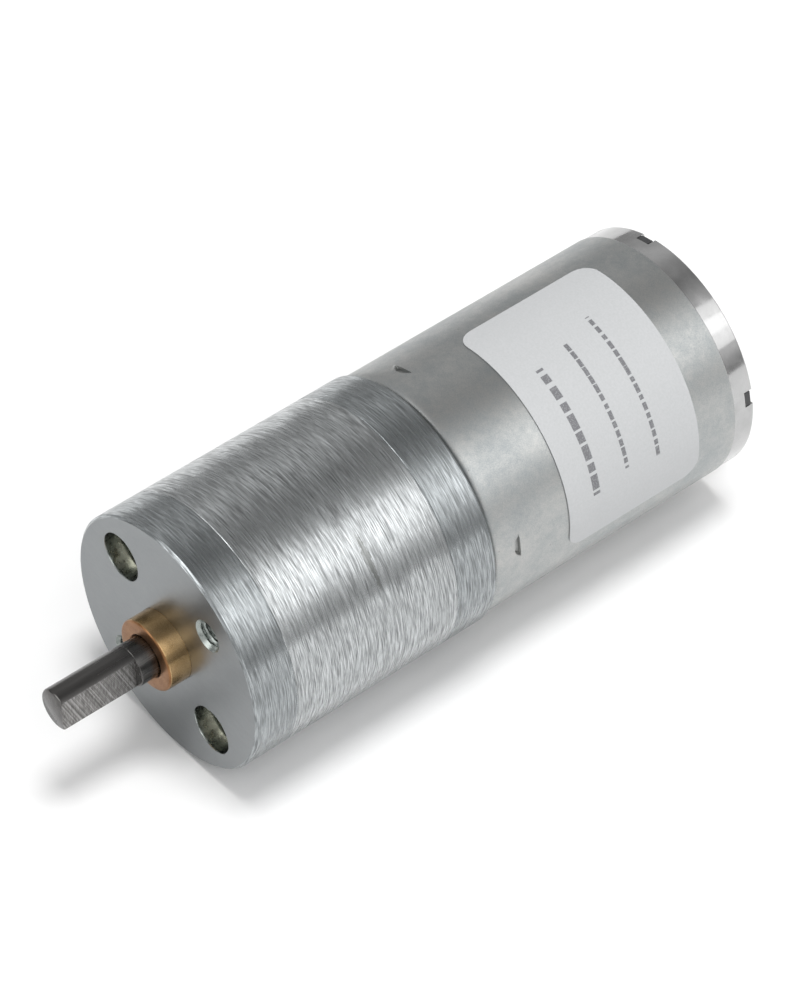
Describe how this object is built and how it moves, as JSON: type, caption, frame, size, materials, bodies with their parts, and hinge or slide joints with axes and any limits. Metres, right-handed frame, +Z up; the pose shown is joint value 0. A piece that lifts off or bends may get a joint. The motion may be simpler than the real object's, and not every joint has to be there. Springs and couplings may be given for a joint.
{
  "type": "spur gearmotor",
  "caption": "Cylindrical brushed DC gearmotor: round spur gearbox with tapped face holes, bronze pilot boss and D-cut output shaft, on a steel can motor with rear tabs.",
  "frame": {"origin": "on the output shaft's axis, in the gearbox's mounting face", "axes": "-Y along the output shaft out of the gearbox, +Y towards the motor's terminals, +Z up; the tapped holes lie on the line at 45 degrees from +X towards +Z"},
  "size_m": [0.025, 0.0727, 0.025],
  "materials": {
    "die_cast_alloy": "satin as-cast, faced",
    "turned_steel": "circumferentially brushed",
    "can_steel": "fine matte, bright rear band",
    "sintered_bronze": "satin face, burnished side",
    "shaft_steel": "ground, milled flat",
    "screw_steel": "bright zinc plated",
    "gear_steel": "sintered, oiled",
    "pinion_brass": "hobbed",
    "pin_steel": "ground",
    "washer_steel": "stamped",
    "ferrite": "ground ceramic",
    "spring_steel": "rolled strip",
    "lamination_steel": "stacked sheets",
    "insulating_card": "fibre card",
    "enamelled_copper": "wound enamelled wire",
    "moulded_resin": "moulded",
    "segment_copper": "turned",
    "carbon": "pressed graphite",
    "leaf_bronze": "rolled strip",
    "tab_brass": "tinned strip",
    "nylon": "moulded black",
    "label_paper": "matte printed paper"
  },
  "bodies": {
    "housing": {"front_plate": "die_cast_alloy", "output_bush": "sintered_bronze", "gearbox_ring": "turned_steel", "rear_plate": "die_cast_alloy", "gear_pin_a": "pin_steel", "gear_pin_b": "pin_steel", "case_screws": "screw_steel", "motor_screws": "screw_steel", "pin_spacers": "washer_steel", "motor_can": "can_steel", "front_bearing": "sintered_bronze", "rear_bearing": "sintered_bronze", "magnet_a": "ferrite", "magnet_b": "ferrite", "magnet_springs": "spring_steel", "end_cap": "nylon", "terminals": "tab_brass", "carbon_brushes": "carbon", "brush_arms": "leaf_bronze", "label": "label_paper"},
    "output": {"output_shaft": "shaft_steel", "output_gear": "gear_steel", "thrust_washer": "washer_steel"},
    "rotor": {"motor_shaft": "pin_steel", "motor_pinion": "pinion_brass", "armature_core": "lamination_steel", "core_insulators": "insulating_card", "armature_coils": "enamelled_copper", "commutator_hub": "moulded_resin", "commutator_segments": "segment_copper", "shaft_washers": "washer_steel", "shaft_spacer": "washer_steel"},
    "gear_1": {"compound_gear_1": "gear_steel"},
    "gear_2": {"compound_gear_2": "gear_steel"},
    "gear_3": {"compound_gear_3": "gear_steel"},
    "gear_4": {"compound_gear_4": "gear_steel"},
    "gear_5": {"compound_gear_5": "gear_steel"},
    "gear_6": {"compound_gear_6": "gear_steel"},
    "gear_7": {"compound_gear_7": "gear_steel"}
  },
  "joints": [
    {"name": "output_spin", "type": "hinge", "parent": "housing", "child": "output", "pos_m": [0, 0, 0], "axis": [0, 1, 0], "continuous": true},
    {"name": "gear_1_spin", "type": "hinge", "parent": "housing", "child": "gear_1", "pos_m": [0.00166, 0, 0.00618], "axis": [0, 1, 0], "continuous": true},
    {"name": "gear_2_spin", "type": "hinge", "parent": "housing", "child": "gear_2", "pos_m": [0.00618, 0, 0.00166], "axis": [0, 1, 0], "continuous": true},
    {"name": "gear_3_spin", "type": "hinge", "parent": "housing", "child": "gear_3", "pos_m": [0.00166, 0, 0.00618], "axis": [0, 1, 0], "continuous": true},
    {"name": "gear_4_spin", "type": "hinge", "parent": "housing", "child": "gear_4", "pos_m": [0.00618, 0, 0.00166], "axis": [0, 1, 0], "continuous": true},
    {"name": "gear_5_spin", "type": "hinge", "parent": "housing", "child": "gear_5", "pos_m": [0.00166, 0, 0.00618], "axis": [0, 1, 0], "continuous": true},
    {"name": "gear_6_spin", "type": "hinge", "parent": "housing", "child": "gear_6", "pos_m": [0.00618, 0, 0.00166], "axis": [0, 1, 0], "continuous": true},
    {"name": "gear_7_spin", "type": "hinge", "parent": "housing", "child": "gear_7", "pos_m": [0.00166, 0, 0.00618], "axis": [0, 1, 0], "continuous": true},
    {"name": "rotor_spin", "type": "hinge", "parent": "housing", "child": "rotor", "pos_m": [0, 0, 0], "axis": [0, 1, 0], "continuous": true}
  ],
  "couplings": [
    {"joint": "gear_1_spin", "follows": "output_spin", "ratio": -249.44},
    {"joint": "gear_2_spin", "follows": "output_spin", "ratio": 113.38},
    {"joint": "gear_3_spin", "follows": "output_spin", "ratio": -51.536},
    {"joint": "gear_4_spin", "follows": "output_spin", "ratio": 23.426},
    {"joint": "gear_5_spin", "follows": "output_spin", "ratio": -10.648},
    {"joint": "gear_6_spin", "follows": "output_spin", "ratio": 4.84},
    {"joint": "gear_7_spin", "follows": "output_spin", "ratio": -2.2},
    {"joint": "rotor_spin", "follows": "output_spin", "ratio": 476.2}
  ]
}
